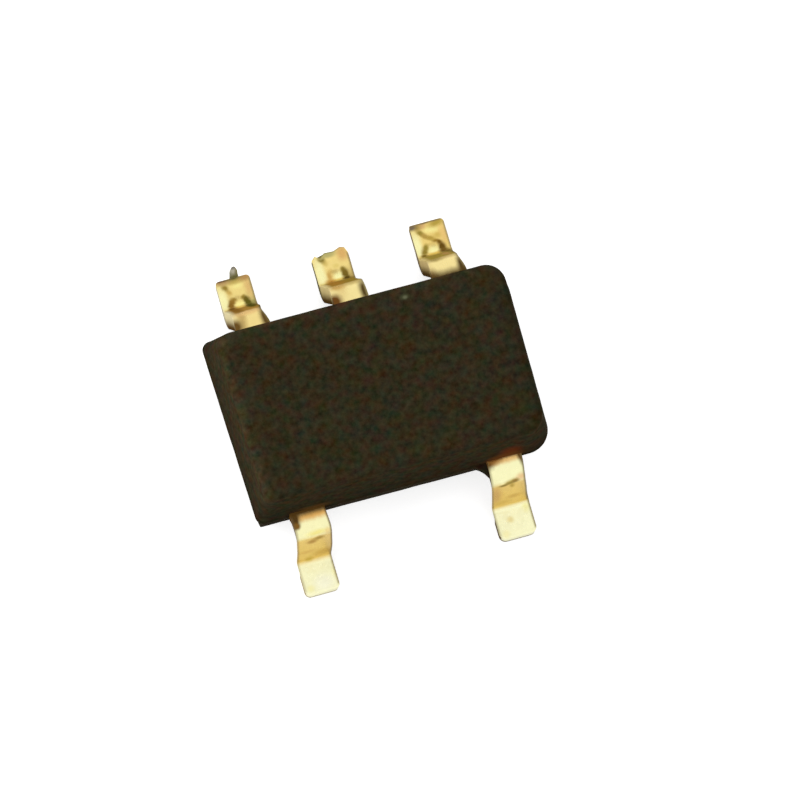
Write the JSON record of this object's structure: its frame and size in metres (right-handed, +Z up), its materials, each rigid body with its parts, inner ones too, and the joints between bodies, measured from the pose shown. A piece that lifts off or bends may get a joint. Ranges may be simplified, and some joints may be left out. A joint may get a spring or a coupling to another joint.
{
  "type": "logic gate ic",
  "caption": "Tiny surface-mount logic gate chip with a matt dark brown moulded body and gold-coloured gull-wing leads, three on one side and two on the other.",
  "frame": {"origin": "centre of the seating plane, under the middle of the body and level with the undersides of the five feet", "axes": "+Z up from the board, +Y towards the side with three leads, +X along the body"},
  "size_m": [0.002, 0.0022, 0.001],
  "materials": {
    "mould": "matt, fine grain",
    "plated_lead": "bright gold plating",
    "silicon": "polished",
    "die_glue": "satin",
    "bond_wire": "bright"
  },
  "bodies": {
    "root": {"mould_body": "mould", "lead_1": "plated_lead", "lead_2": "plated_lead", "lead_3": "plated_lead", "lead_4": "plated_lead", "lead_5": "plated_lead", "die_attach": "die_glue", "die": "silicon", "bond_wire_1": "bond_wire", "bond_wire_2": "bond_wire", "bond_wire_3": "bond_wire", "bond_wire_4": "bond_wire", "bond_wire_5": "bond_wire"}
  },
  "joints": []
}
